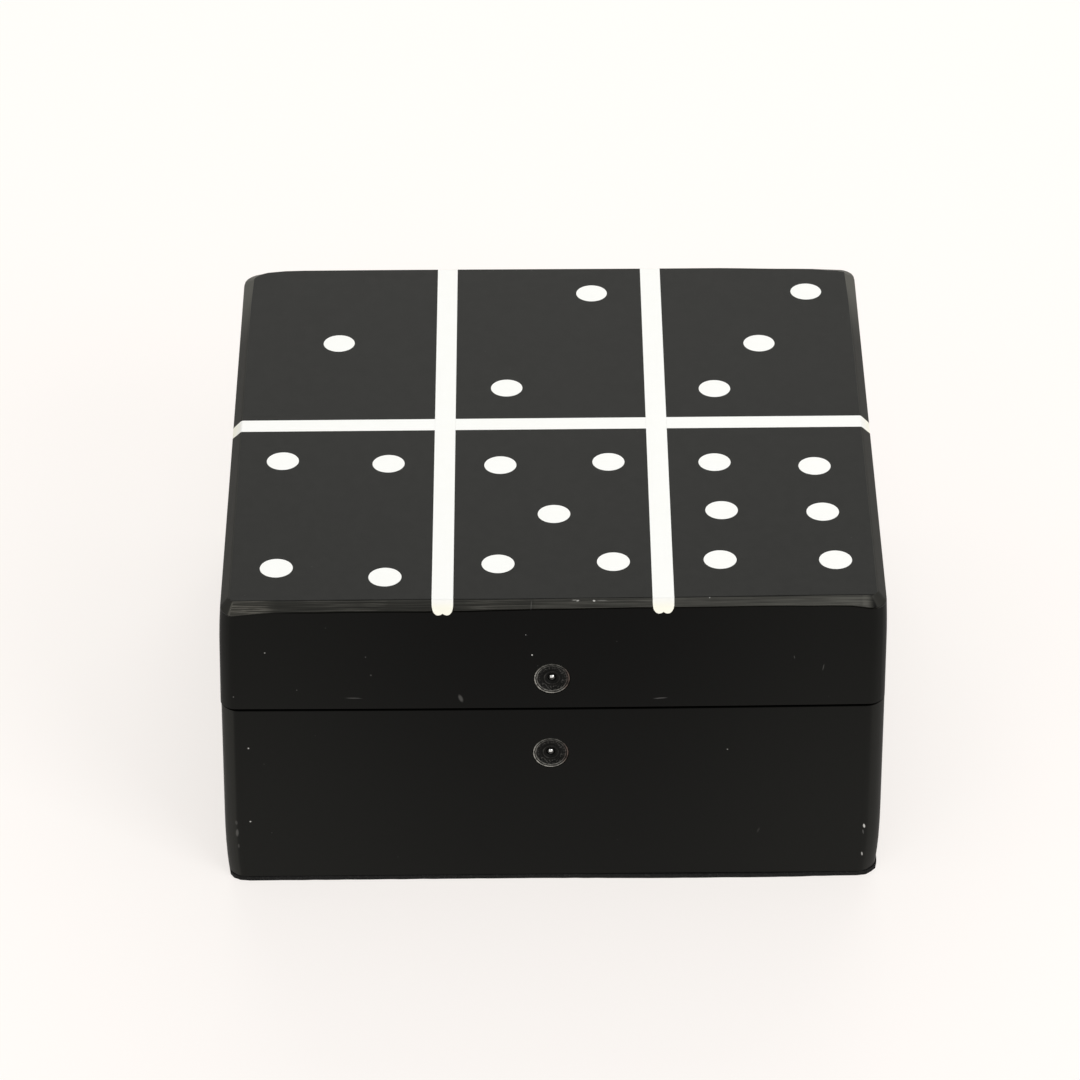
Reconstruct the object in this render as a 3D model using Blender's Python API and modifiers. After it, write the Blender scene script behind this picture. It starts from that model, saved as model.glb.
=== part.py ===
"""A hinged keepsake box whose lid is inlaid as six domino faces, one pip to six pips.

Run with: blender --background --python part.py

The box stands on the XY plane with its front towards -Y, and its origin is the centre of its
underside. Every size below is in millimetres; MM turns it into Blender's metres.
"""

import math

import bmesh
import bpy
from mathutils import Matrix, Vector

MM = 0.001

# --- Driving dimensions -------------------------------------------------------------------------
WIDTH = 153.6           # X, side to side
DEPTH = 149.0           # Y, front to back
HEIGHT = 79.0           # Z, felt to lid top
LID_HEIGHT = 29.5       # seam to lid top
WALL = 9.0              # thickness of the side boards
TOP_PANEL = 7.0         # thickness of the inlaid board glued on the lid's walls
FLOOR_PANEL = 5.0       # thickness of the board in the base's rebate
REBATE = 3.0            # how far the floor panel is let into each wall
FELT = 1.2              # felt under the box and inside it
GAP = 0.3               # glue line or seam between two neighbouring pieces
INLAY_GAP = 0.2         # glue line round an inlay

CORNER_CHAMFER = 2.2    # the four upright corners
TOP_CHAMFER = 2.2       # round the lid's top
BOTTOM_CHAMFER = 0.8    # round the base's underside
FELT_INSET = 0.4        # the under-felt's edge, inside the walls' outer faces

STRIP_WIDTH = 4.9       # white inlaid strips
STRIP_DEPTH = 3.4
STRIP_LOBE = 1.4        # radius of the round-nosed cutter that made the groove in two passes
LEFT_STRIP_X = -24.8    # centre of each front-to-back strip
RIGHT_STRIP_X = 25.5
CROSS_STRIP_Y = 0.8     # centre of the side-to-side strip

PIP_RADIUS = 3.8
PIP_DEPTH = 3.0

STUD_RADIUS = 4.1       # the two turned discs let into the front
STUD_DEPTH = 3.0
STUD_EDGE = 0.15        # rubbed edge round each disc
STUD_DISH = 0.7         # depth of the dish beside its pin
STUD_RINGS = ((1.5, -0.5), (1.75, -0.35), (2.05, -0.5), (3.1, -0.45), (3.45, -0.1))  # radius, height
STUD_PIN_RADIUS = 0.8
STUD_PIN_LENGTH = 7.5
STUD_PIN_POINT = 1.0
STUD_PIN_SUNK = 0.1     # top of the dome, below the disc's rim
UPPER_STUD = (0.0, HEIGHT - 21.2)   # X and Z of each disc's centre
LOWER_STUD = (-0.4, HEIGHT - 42.2)

HINGE_X = 42.0          # centre of each hinge, left and right
HINGE_LENGTH = 25.0
HINGE_INSET = 2.4       # pin axis, inside the back face
KNUCKLE_RADIUS = 1.6
HINGE_PIN_RADIUS = 0.75
HINGE_BORE_RADIUS = 0.85
HINGE_PIN_HEAD_RADIUS = 1.25
HINGE_PIN_HEAD_LENGTH = 0.5
HINGE_PIN_HEAD_EDGE = 0.25
HINGE_PIN_PLAY = 0.1    # between the pin's head and the end knuckle
LEAF_WIDTH = WALL - HINGE_INSET     # from the pin axis to the wall's inner face
LEAF_THICKNESS = 1.0
STOP_BEVEL_DEG = 50.5   # each wall's back bevel: the two meet when the lid is 101 degrees open

SCREW_X = 8.0           # each screw, from the hinge's middle
SCREW_IN = 3.9          # each screw, from the pin axis
SCREW_HEAD_RADIUS = 1.45
SCREW_SHANK_RADIUS = 0.7
SCREW_LENGTH = 7.0
SCREW_HEAD_DEPTH = 0.8
SCREW_HEAD_SUNK = 0.05  # head below the leaf's face
SCREW_POINT = 1.0
PILOT_PAST = 1.0        # how far a pilot hole runs beyond its screw, and a slot beyond its head
SCREW_SLOT_WIDTH = 0.4
SCREW_SLOT_DEPTH = 0.35

ROUND_STEPS = 32        # sides of a pip, disc or knuckle
SMALL_STEPS = 20        # sides of a screw or pin

# Pips on each face, from that face's centre. They were set out by hand, so they wander a little.
PIPS = {
    "one": [(1.0, -1.0)],
    "two": [(10.5, 21.5), (-10.5, -22.0)],
    "three": [(11.5, 21.5), (-1.0, -2.5), (-12.5, -23.0)],
    "four": [(-11.0, 23.5), (14.0, 22.0), (-11.0, -21.5), (14.0, -25.5)],
    "five": [(-12.0, 21.0), (13.5, 22.0), (0.5, 0.0), (-12.5, -20.5), (14.0, -20.0)],
    "six": [(-13.5, 21.5), (10.0, 19.5), (-12.5, 1.0), (11.0, 0.0), (-13.5, -19.5), (13.0, -20.0)],
}

# --- Places worked out from them ----------------------------------------------------------------
SEAM_Z = HEIGHT - LID_HEIGHT
BASE_BOTTOM = FELT + GAP
BASE_TOP = SEAM_Z - GAP / 2
LID_BOTTOM = SEAM_Z + GAP / 2
LID_WALL_TOP = HEIGHT - TOP_PANEL - GAP
FLOOR_TOP = BASE_BOTTOM + FLOOR_PANEL
HINGE_Y = DEPTH / 2 - HINGE_INSET
CLEAR = 20.0            # how far a cutter or guide runs past what it cuts

LACQUER = ("black_lacquer", (0.012, 0.012, 0.011), 0.45, 0.0)
RESIN = ("white_resin", (0.86, 0.85, 0.78), 0.3, 0.0)
FELT_CLOTH = ("black_felt", (0.012, 0.012, 0.012), 0.95, 0.0)
STUD_BLACK = ("turned_black", (0.014, 0.014, 0.013), 0.4, 0.0)
BRASS = ("brass", (0.72, 0.52, 0.22), 0.35, 1.0)
STEEL = ("steel", (0.62, 0.62, 0.6), 0.3, 1.0)


# --- Scene and materials ------------------------------------------------------------------------
def clear_scene():
    for obj in list(bpy.data.objects):
        bpy.data.objects.remove(obj)


def new_collection(name):
    collection = bpy.data.collections.new(name)
    bpy.context.scene.collection.children.link(collection)
    return collection


def material(finish):
    name, colour, roughness, metallic = finish
    found = bpy.data.materials.get(name)
    if found:
        return found
    made = bpy.data.materials.new(name)
    made.use_nodes = True
    shader = made.node_tree.nodes["Principled BSDF"]
    shader.inputs["Base Color"].default_value = (*colour, 1.0)
    shader.inputs["Roughness"].default_value = roughness
    shader.inputs["Metallic"].default_value = metallic
    return made


def mesh_object(name, bm, finish=None):
    """A new object from a bmesh in millimetres: a part with a finish, or a hidden cutter without."""
    bmesh.ops.recalc_face_normals(bm, faces=bm.faces)
    bm.transform(Matrix.Scale(MM, 4))
    mesh = bpy.data.meshes.new(name)
    bm.to_mesh(mesh)
    bm.free()
    obj = bpy.data.objects.new(name, mesh)
    if finish:
        parts.objects.link(obj)
        mesh.materials.append(material(finish))
    else:
        hide(obj)
    return obj


def hide(obj):
    cutters.objects.link(obj)
    obj.hide_render = True
    obj.display_type = "WIRE"


def shade_round(obj, angle_deg=40):
    obj.data.shade_smooth()
    obj.data.set_sharp_from_angle(angle=math.radians(angle_deg))


def boolean(obj, operation, other):
    modifier = obj.modifiers.new(operation.lower(), "BOOLEAN")
    modifier.operation = operation
    modifier.solver = "EXACT"
    modifier.object = other


# --- Shapes, all in millimetres -----------------------------------------------------------------
def box_bmesh(low, high):
    bm = bmesh.new()
    size = Vector(high) - Vector(low)
    centre = (Vector(high) + Vector(low)) / 2
    bmesh.ops.create_cube(bm, size=1, matrix=Matrix.Translation(centre) @ Matrix.Diagonal((*size, 1)))
    return bm


def box(name, low, high, finish=None):
    return mesh_object(name, box_bmesh(low, high), finish)


def rod(name, radius, start, end, steps=ROUND_STEPS, finish=None):
    """A cylinder between two points."""
    along = Vector(end) - Vector(start)
    turn = along.to_track_quat("Z", "Y").to_matrix().to_4x4()
    place = Matrix.Translation((Vector(start) + Vector(end)) / 2) @ turn
    bm = bmesh.new()
    bmesh.ops.create_cone(
        bm, cap_ends=True, segments=steps, radius1=radius, radius2=radius, depth=along.length, matrix=place
    )
    obj = mesh_object(name, bm, finish)
    shade_round(obj)
    return obj


def prism(name, outline, thickness, place):
    """A hidden solid from a flat outline, centred on its own plane, as a mesh a Boolean can use."""
    curve = bpy.data.curves.new(name, "CURVE")
    curve.dimensions = "2D"
    curve.fill_mode = "BOTH"
    curve.extrude = thickness / 2 * MM
    spline = curve.splines.new("POLY")
    spline.points.add(len(outline) - 1)
    for point, (x, y) in zip(spline.points, outline):
        point.co = (x * MM, y * MM, 0, 1)
    spline.use_cyclic_u = True
    flat = bpy.data.objects.new(name, curve)
    bpy.context.scene.collection.objects.link(flat)
    bpy.context.view_layer.update()
    mesh = bpy.data.meshes.new_from_object(flat.evaluated_get(bpy.context.evaluated_depsgraph_get()))
    bpy.data.objects.remove(flat)
    bm = bmesh.new()
    bm.from_mesh(mesh)
    bmesh.ops.remove_doubles(bm, verts=bm.verts, dist=0.00001)
    bmesh.ops.recalc_face_normals(bm, faces=bm.faces)
    bm.to_mesh(mesh)
    bm.free()
    obj = bpy.data.objects.new(name, mesh)
    obj.matrix_world = place
    hide(obj)
    return obj


def turned(name, profile, place, steps, finish=None):
    """A closed profile of (radius, height) points, listed down its outer side, turned about Z."""
    mesh = bpy.data.meshes.new(name)
    points = [(radius * MM, 0, height * MM) for radius, height in profile]
    on_axis = profile[0][0] == 0 and profile[-1][0] == 0
    edges = [(i, i + 1) for i in range(len(points) - 1)]
    if not on_axis:
        edges.append((len(points) - 1, 0))
    mesh.from_pydata(points, edges, [])
    obj = bpy.data.objects.new(name, mesh)
    screw = obj.modifiers.new("turn", "SCREW")
    screw.steps = steps
    screw.render_steps = steps
    screw.use_merge_vertices = True
    screw.merge_threshold = 0.00001
    screw.use_smooth_shade = False
    obj.matrix_world = place
    if finish:
        parts.objects.link(obj)
        mesh.materials.append(material(finish))
    else:
        hide(obj)
    return obj


def placed(x, y, z, towards):
    """A matrix at (x, y, z) in millimetres, whose Z axis points along towards."""
    turn = Vector(towards).to_track_quat("Z", "Y").to_matrix().to_4x4()
    return Matrix.Translation(Vector((x, y, z)) * MM) @ turn


def chamfered_block(name, low_z, high_z, top=0.0, bottom=0.0, inset=0.0, finish=None):
    """The box's outer form between two heights, with its corners and rims chamfered."""
    x = WIDTH / 2 - inset
    y = DEPTH / 2 - inset
    bm = box_bmesh((-x, -y, low_z), (x, y, high_z))
    upright = [e for e in bm.edges if abs(e.verts[0].co.z - e.verts[1].co.z) > 1]
    bmesh.ops.bevel(bm, geom=upright, offset=CORNER_CHAMFER, offset_type="OFFSET", segments=1, affect="EDGES")
    for size, level in ((top, high_z), (bottom, low_z)):
        if size:
            rim = [e for e in bm.edges if all(abs(v.co.z - level) < 1e-4 for v in e.verts)]
            bmesh.ops.bevel(bm, geom=rim, offset=size, offset_type="OFFSET", segments=1, affect="EDGES")
    return mesh_object(name, bm, finish)


def mitre_wedge(name, side):
    """The quarter of the plan that one wall fills: side 0 is the front, then right, back and left."""
    faces_y = side in (0, 2)
    half = (WIDTH if faces_y else DEPTH) / 2
    outward = (DEPTH if faces_y else WIDTH) / 2
    inset = GAP / math.sqrt(2)
    inner = WALL + CLEAR
    outline = [
        (-half - CLEAR + inset, -outward - CLEAR),
        (half + CLEAR - inset, -outward - CLEAR),
        (half - inner - inset, -outward + inner),
        (-half + inner + inset, -outward + inner),
    ]
    turn = Matrix.Rotation(side * math.pi / 2, 4, "Z")
    place = Matrix.Translation((0, 0, HEIGHT / 2 * MM)) @ turn
    return prism(name, outline, HEIGHT + 2 * CLEAR, place)


# --- Carcass ------------------------------------------------------------------------------------
SIDES = ("front", "right", "back", "left")


def cavity_cutter(name, low_z, high_z, into_wall=0.0):
    x = WIDTH / 2 - WALL + into_wall
    y = DEPTH / 2 - WALL + into_wall
    return box(name, (-x, -y, low_z), (x, y, high_z))


def walls(storey, block, hollows):
    """The four mitred boards of the base or the lid, cut from one block."""
    made = {}
    for number, side in enumerate(SIDES):
        wall = block.copy()
        wall.data = block.data.copy()
        wall.name = f"{storey}_{side}_wall"
        wall.hide_render = False
        wall.display_type = "TEXTURED"
        wall.data.materials.append(material(LACQUER))
        parts.objects.link(wall)
        boolean(wall, "INTERSECT", mitre_wedge(f"{storey}_{side}_mitre", number))
        for hollow in hollows:
            boolean(wall, "DIFFERENCE", hollow)
        made[side] = wall
    return made


def build_base_carcass():
    block = chamfered_block("base_block", BASE_BOTTOM, BASE_TOP, bottom=BOTTOM_CHAMFER)
    hollow = cavity_cutter("base_hollow", BASE_BOTTOM - CLEAR, BASE_TOP + CLEAR)
    rebate = cavity_cutter("base_rebate", BASE_BOTTOM - CLEAR, FLOOR_TOP + GAP, REBATE)
    made = walls("base", block, [hollow, rebate])
    x = WIDTH / 2 - WALL + REBATE - GAP
    y = DEPTH / 2 - WALL + REBATE - GAP
    box("base_floor_panel", (-x, -y, BASE_BOTTOM), (x, y, FLOOR_TOP), LACQUER)
    lining_pad("base_lining_felt", FLOOR_TOP + GAP)
    chamfered_block("underside_felt", 0, FELT, inset=FELT_INSET, finish=FELT_CLOTH)
    return made


def lining_pad(name, low_z):
    x = WIDTH / 2 - WALL - GAP
    y = DEPTH / 2 - WALL - GAP
    box(name, (-x, -y, low_z), (x, y, low_z + FELT), FELT_CLOTH)


def build_lid_carcass():
    block = chamfered_block("lid_block", LID_BOTTOM, LID_WALL_TOP)
    hollow = cavity_cutter("lid_hollow", LID_BOTTOM - CLEAR, LID_WALL_TOP + CLEAR)
    made = walls("lid", block, [hollow])
    lining_pad("lid_lining_felt", HEIGHT - TOP_PANEL - GAP - FELT)
    panel = chamfered_block("lid_top_panel", HEIGHT - TOP_PANEL, HEIGHT, top=TOP_CHAMFER, finish=LACQUER)
    return made, panel


# --- Inlays in the lid --------------------------------------------------------------------------
def strip_bar(name, grow, start, end):
    """A bar between two points on the lid's top, with the groove's two-lobed underside."""
    half = STRIP_WIDTH / 2 + grow
    lobe = STRIP_LOBE + grow
    lobe_x = half - lobe
    depth = STRIP_DEPTH + grow
    cusp = math.acos(lobe_x / lobe)
    steps = 8
    outline = [(half, CLEAR), (-half, CLEAR)]
    for side, first, last in ((-1, math.pi, 2 * math.pi - cusp), (1, math.pi + cusp, 2 * math.pi)):
        for step in range(steps + 1):
            angle = first + (last - first) * step / steps
            outline.append((side * lobe_x + lobe * math.cos(angle), lobe - depth + lobe * math.sin(angle)))
    points = []
    for point in outline:
        if not points or math.dist(point, points[-1]) > 0.01:
            points.append(point)
    along = Vector(end) - Vector(start)
    middle = (Vector(start) + Vector(end)) / 2 * MM
    heading = math.atan2(along.y, along.x) + math.pi / 2
    turn = Matrix.Rotation(heading, 4, "Z") @ Matrix.Rotation(math.pi / 2, 4, "X")
    place = Matrix.Translation((middle.x, middle.y, HEIGHT * MM)) @ turn
    return prism(name, points, along.length, place)


def inlaid_strip(name, start, end):
    """A white strip whose ends and top follow the lid's own surface."""
    strip = strip_bar(name, 0.0, start, end)
    cutters.objects.unlink(strip)
    parts.objects.link(strip)
    strip.hide_render = False
    strip.display_type = "TEXTURED"
    strip.data.materials.append(material(RESIN))
    boolean(strip, "INTERSECT", bpy.data.objects["lid_form"])
    return strip


def face_centre(number):
    """The centre of domino face 1 to 6: one, two and three run along the back, left to right."""
    half = STRIP_WIDTH / 2
    columns = (
        (-WIDTH / 2, LEFT_STRIP_X - half),
        (LEFT_STRIP_X + half, RIGHT_STRIP_X - half),
        (RIGHT_STRIP_X + half, WIDTH / 2),
    )
    rows = ((CROSS_STRIP_Y + half, DEPTH / 2), (-DEPTH / 2, CROSS_STRIP_Y - half))
    column = columns[(number - 1) % 3]
    row = rows[(number - 1) // 3]
    return sum(column) / 2, sum(row) / 2


def inlay_strips(panel):
    """Two strips run through from front to back. The side-to-side strip is in three lengths."""
    far_x = WIDTH / 2 + CLEAR
    far_y = DEPTH / 2 + CLEAR
    for side, x in (("left", LEFT_STRIP_X), ("right", RIGHT_STRIP_X)):
        boolean(panel, "DIFFERENCE", strip_bar(f"{side}_groove", INLAY_GAP, (x, -far_y), (x, far_y)))
        inlaid_strip(f"long_strip_{side}", (x, -far_y), (x, far_y))
    y = CROSS_STRIP_Y
    boolean(panel, "DIFFERENCE", strip_bar("cross_groove", INLAY_GAP, (-far_x, y), (far_x, y)))
    beside = STRIP_WIDTH / 2 + INLAY_GAP
    lengths = (
        ("left", -far_x, LEFT_STRIP_X - beside),
        ("middle", LEFT_STRIP_X + beside, RIGHT_STRIP_X - beside),
        ("right", RIGHT_STRIP_X + beside, far_x),
    )
    for place, start, end in lengths:
        inlaid_strip(f"cross_strip_{place}", (start, y), (end, y))


def inlay_pips(panel):
    """Each pip is a plug let into its own flat-bottomed hole."""
    low = HEIGHT - PIP_DEPTH
    for number, (face, pips) in enumerate(PIPS.items(), start=1):
        centre_x, centre_y = face_centre(number)
        for count, (dx, dy) in enumerate(pips, start=1):
            x = centre_x + dx
            y = centre_y + dy
            name = f"pip_{face}_{count}"
            rod(name, PIP_RADIUS, (x, y, low), (x, y, HEIGHT), finish=RESIN)
            hole_ends = ((x, y, low - INLAY_GAP), (x, y, HEIGHT + CLEAR))
            boolean(panel, "DIFFERENCE", rod(f"{name}_hole", PIP_RADIUS + INLAY_GAP, *hole_ends))


# --- Front studs --------------------------------------------------------------------------------
def build_stud(level, wall, x, z):
    """A turned disc let into the front wall, with a domed pin through its middle."""
    bore = STUD_PIN_RADIUS + GAP
    face = [
        (STUD_RADIUS, -STUD_EDGE),
        (STUD_RADIUS, -STUD_DEPTH),
        (bore, -STUD_DEPTH),
        (bore, -STUD_DISH),
        *STUD_RINGS,
        (STUD_RADIUS - STUD_EDGE, 0.0),
    ]
    front = placed(x, -DEPTH / 2, z, (0, -1, 0))
    turned(f"{level}_stud_disc", face, front, ROUND_STEPS, STUD_BLACK)
    dome_steps = 4
    dome_low = -STUD_PIN_SUNK - STUD_PIN_RADIUS
    dome = [
        (STUD_PIN_RADIUS * math.sin(a), dome_low + STUD_PIN_RADIUS * math.cos(a))
        for a in (math.pi / 2 * step / dome_steps for step in range(dome_steps + 1))
    ]
    pin = dome + [(STUD_PIN_RADIUS, STUD_PIN_POINT - STUD_PIN_LENGTH), (0, -STUD_PIN_LENGTH)]
    turned(f"{level}_stud_pin", pin, front, SMALL_STEPS, STEEL)
    seat = STUD_RADIUS + GAP / 2
    hole = [
        (0, CLEAR),
        (seat, CLEAR),
        (seat, -STUD_DEPTH - GAP),
        (bore, -STUD_DEPTH - GAP),
        (bore, -STUD_PIN_LENGTH - GAP),
        (0, -STUD_PIN_LENGTH - GAP),
    ]
    boolean(wall, "DIFFERENCE", turned(f"{level}_stud_seat", hole, front, ROUND_STEPS))


# --- Hinges -------------------------------------------------------------------------------------
def knuckle_spans():
    """(belongs to, from, to) along one hinge: the base leaf has the outer knuckles."""
    half = HINGE_LENGTH / 2
    step = HINGE_LENGTH / 6
    return ("base", -half, -step), ("lid", -step, step), ("base", step, half)


def screw_places(centre_x):
    """(which, x) of a leaf's two screws: the outer one is nearer the box's side."""
    outward = math.copysign(SCREW_X, centre_x)
    return ("outer", centre_x + outward), ("inner", centre_x - outward)


def hinge_leaf(side, storey, centre_x):
    """One leaf: a plate with its own knuckles, notched round the other leaf's and countersunk."""
    up = 1 if storey == "lid" else -1
    near = SEAM_Z + up * GAP / 2
    far = near + up * LEAF_THICKNESS
    low_x = centre_x - HINGE_LENGTH / 2
    high_x = centre_x + HINGE_LENGTH / 2
    name = f"{side}_hinge_{storey}_leaf"
    low = (low_x, HINGE_Y - LEAF_WIDTH, min(near, far))
    high = (high_x, HINGE_Y, max(near, far))
    leaf = box(name, low, high, BRASS)
    relief = GAP / 2
    for number, (owner, start, end) in enumerate(knuckle_spans()):
        if owner == storey:
            first = (centre_x + start + (relief if start > -HINGE_LENGTH / 2 else 0), HINGE_Y, SEAM_Z)
            last = (centre_x + end - (relief if end < HINGE_LENGTH / 2 else 0), HINGE_Y, SEAM_Z)
            barrel = rod(f"{name}_barrel_{number}", KNUCKLE_RADIUS, first, last)
            boolean(leaf, "UNION", barrel)
        else:
            reach = KNUCKLE_RADIUS + GAP
            past = GAP / 2
            notch = box(
                f"{name}_notch_{number}",
                (centre_x + start - past, HINGE_Y - reach, SEAM_Z - reach),
                (centre_x + end + past, HINGE_Y + reach, SEAM_Z + reach),
            )
            boolean(leaf, "DIFFERENCE", notch)
    bore_ends = ((low_x - CLEAR, HINGE_Y, SEAM_Z), (high_x + CLEAR, HINGE_Y, SEAM_Z))
    boolean(leaf, "DIFFERENCE", rod(f"{name}_bore", HINGE_BORE_RADIUS, *bore_ends))
    sink = SCREW_HEAD_RADIUS + GAP
    shank = SCREW_SHANK_RADIUS + GAP
    for end, x in screw_places(centre_x):
        neck = -SCREW_HEAD_DEPTH
        cone = [(0, CLEAR), (sink, CLEAR), (sink, 0), (shank, neck), (shank, -CLEAR), (0, -CLEAR)]
        place = placed(x, HINGE_Y - SCREW_IN, near, (0, 0, -up))
        boolean(leaf, "DIFFERENCE", turned(f"{name}_countersink_{end}", cone, place, SMALL_STEPS))


def hinge_screw(name, x, up):
    """One slotted countersunk screw, driven up into the lid or down into the base."""
    top = SEAM_Z + up * (GAP / 2 + SCREW_HEAD_SUNK)
    y = HINGE_Y - SCREW_IN
    profile = [
        (0, 0),
        (SCREW_HEAD_RADIUS, 0),
        (SCREW_SHANK_RADIUS, -SCREW_HEAD_DEPTH),
        (SCREW_SHANK_RADIUS, -SCREW_LENGTH + SCREW_POINT),
        (0, -SCREW_LENGTH),
    ]
    screw = turned(name, profile, placed(x, y, top, (0, 0, -up)), SMALL_STEPS, BRASS)
    reach = SCREW_HEAD_RADIUS + PILOT_PAST
    half = SCREW_SLOT_WIDTH / 2
    low = (x - reach, y - half, top - SCREW_SLOT_DEPTH)
    high = (x + reach, y + half, top + SCREW_SLOT_DEPTH)
    boolean(screw, "DIFFERENCE", box(f"{name}_slot", low, high))


def hinge_pin(side, centre_x):
    half = HINGE_LENGTH / 2 + HINGE_PIN_PLAY
    head = half + HINGE_PIN_HEAD_LENGTH
    profile = [
        (0, head),
        (HINGE_PIN_HEAD_RADIUS - HINGE_PIN_HEAD_EDGE, head),
        (HINGE_PIN_HEAD_RADIUS, head - HINGE_PIN_HEAD_EDGE),
        (HINGE_PIN_HEAD_RADIUS, half),
        (HINGE_PIN_RADIUS, half),
    ]
    mirrored = [(radius, -height) for radius, height in reversed(profile)]
    place = placed(centre_x, HINGE_Y, SEAM_Z, (1, 0, 0))
    turned(f"{side}_hinge_pin", profile + mirrored, place, SMALL_STEPS, STEEL)


def hinge_pocket(wall, side, storey, centre_x):
    """The wall's mortise for the leaf, its hollow for the knuckles and its pilot holes."""
    up = 1 if storey == "lid" else -1
    half = HINGE_LENGTH / 2 + GAP
    floor = SEAM_Z + up * (GAP / 2 + LEAF_THICKNESS + GAP)
    mouth = SEAM_Z - up * CLEAR
    name = f"{side}_{storey}_pocket"
    low = (centre_x - half, HINGE_Y - LEAF_WIDTH - CLEAR, min(floor, mouth))
    high = (centre_x + half, HINGE_Y, max(floor, mouth))
    boolean(wall, "DIFFERENCE", box(f"{name}_mortise", low, high))
    past = HINGE_LENGTH / 2 + HINGE_PIN_HEAD_LENGTH + 3 * GAP
    ends = ((centre_x - past, HINGE_Y, SEAM_Z), (centre_x + past, HINGE_Y, SEAM_Z))
    boolean(wall, "DIFFERENCE", rod(f"{name}_barrel", KNUCKLE_RADIUS + GAP, *ends))
    for end, x in screw_places(centre_x):
        y = HINGE_Y - SCREW_IN
        ends = ((x, y, SEAM_Z - up * PILOT_PAST), (x, y, SEAM_Z + up * (SCREW_LENGTH + PILOT_PAST)))
        pilot = rod(f"{name}_pilot_{end}", SCREW_SHANK_RADIUS + GAP, *ends, SMALL_STEPS)
        boolean(wall, "DIFFERENCE", pilot)


def stop_bevel(storey):
    """The bevel along the back rim, from the pin axis out: the two bevels stop the lid."""
    up = 1 if storey == "lid" else -1
    reach = 4 * HINGE_INSET
    drop = reach * math.tan(math.radians(STOP_BEVEL_DEG))
    outline = [(0, 0), (reach, 0), (reach, up * drop)]
    turn = Matrix(((0, 0, 1), (1, 0, 0), (0, 1, 0))).to_4x4()
    place = Matrix.Translation(Vector((0, HINGE_Y, SEAM_Z)) * MM) @ turn
    return prism(f"{storey}_bevel", outline, WIDTH + 2 * CLEAR, place)


def build_hinges(base_walls, lid_walls):
    centres = (("left", -HINGE_X), ("right", HINGE_X))
    for storey, made in (("base", base_walls), ("lid", lid_walls)):
        up = 1 if storey == "lid" else -1
        bevel = stop_bevel(storey)
        for side in ("left", "back", "right"):
            boolean(made[side], "DIFFERENCE", bevel)
        for side, x in centres:
            hinge_pocket(made["back"], side, storey, x)
            hinge_leaf(side, storey, x)
            for end, screw_x in screw_places(x):
                hinge_screw(f"{side}_hinge_{storey}_screw_{end}", screw_x, up)
    for side, x in centres:
        hinge_pin(side, x)


clear_scene()
parts = new_collection("domino_box")
cutters = new_collection("cutters")
base_walls = build_base_carcass()
lid_walls, top_panel = build_lid_carcass()
chamfered_block("lid_form", HEIGHT - TOP_PANEL, HEIGHT, top=TOP_CHAMFER)
inlay_strips(top_panel)
inlay_pips(top_panel)
build_stud("upper", lid_walls["front"], *UPPER_STUD)
build_stud("lower", base_walls["front"], *LOWER_STUD)
build_hinges(base_walls, lid_walls)
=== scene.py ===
"""The looks of a black lacquered keepsake box whose lid is inlaid as six domino faces.

Lengths are in millimetres until a mesh is made, when MM turns them into Blender's metres. The box
stands on the XY plane with its front towards -Y. Each piece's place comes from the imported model.
"""

import math

import bmesh
import bpy
from mathutils import Matrix, Vector, noise


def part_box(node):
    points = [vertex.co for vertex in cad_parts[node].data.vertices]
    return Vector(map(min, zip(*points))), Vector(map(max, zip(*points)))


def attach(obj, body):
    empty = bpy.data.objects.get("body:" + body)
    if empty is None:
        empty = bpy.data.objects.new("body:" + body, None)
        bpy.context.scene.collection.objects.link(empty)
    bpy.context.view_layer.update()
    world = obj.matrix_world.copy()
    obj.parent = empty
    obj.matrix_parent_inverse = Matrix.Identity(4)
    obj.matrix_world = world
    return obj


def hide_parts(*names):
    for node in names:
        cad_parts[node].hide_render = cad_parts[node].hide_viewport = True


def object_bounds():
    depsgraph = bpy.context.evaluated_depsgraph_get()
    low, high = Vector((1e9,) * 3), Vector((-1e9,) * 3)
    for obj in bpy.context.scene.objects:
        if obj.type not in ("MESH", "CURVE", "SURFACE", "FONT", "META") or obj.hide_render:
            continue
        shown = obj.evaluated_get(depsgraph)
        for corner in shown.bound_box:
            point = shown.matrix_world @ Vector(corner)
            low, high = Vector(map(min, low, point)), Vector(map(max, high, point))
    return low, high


MM = 0.001

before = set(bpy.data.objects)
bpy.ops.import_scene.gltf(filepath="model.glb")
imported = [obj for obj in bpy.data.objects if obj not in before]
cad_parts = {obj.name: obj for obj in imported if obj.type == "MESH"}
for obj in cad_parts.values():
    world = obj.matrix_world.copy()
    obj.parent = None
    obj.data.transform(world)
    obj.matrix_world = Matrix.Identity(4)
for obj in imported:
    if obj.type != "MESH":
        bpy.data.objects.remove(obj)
cad_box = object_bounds()


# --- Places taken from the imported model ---
def span(node):
    """Lowest and highest corner of a node, in millimetres."""
    low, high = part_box(node)
    return low / MM, high / MM


HALF_X = cad_box[1].x / MM
FRONT = cad_box[0].y / MM
BACK = cad_box[1].y / MM
TOP = cad_box[1].z / MM
LID_LOW = span("lid_front_wall")[0].z
BASE_LOW, BASE_HIGH = span("base_front_wall")[0].z, span("base_front_wall")[1].z
SEAM = (LID_LOW + BASE_HIGH) / 2
WALL = 9.0
INNER_X = -span("base_left_wall")[0].x - WALL
INNER_Y = BACK - WALL
HINGE_Y = (span("left_hinge_pin")[0].y + span("left_hinge_pin")[1].y) / 2
PIPS = sorted(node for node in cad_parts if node.startswith("pip_"))
STRIPS = (
    "long_strip_left", "long_strip_right",
    "cross_strip_left", "cross_strip_middle", "cross_strip_right",
)

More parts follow.
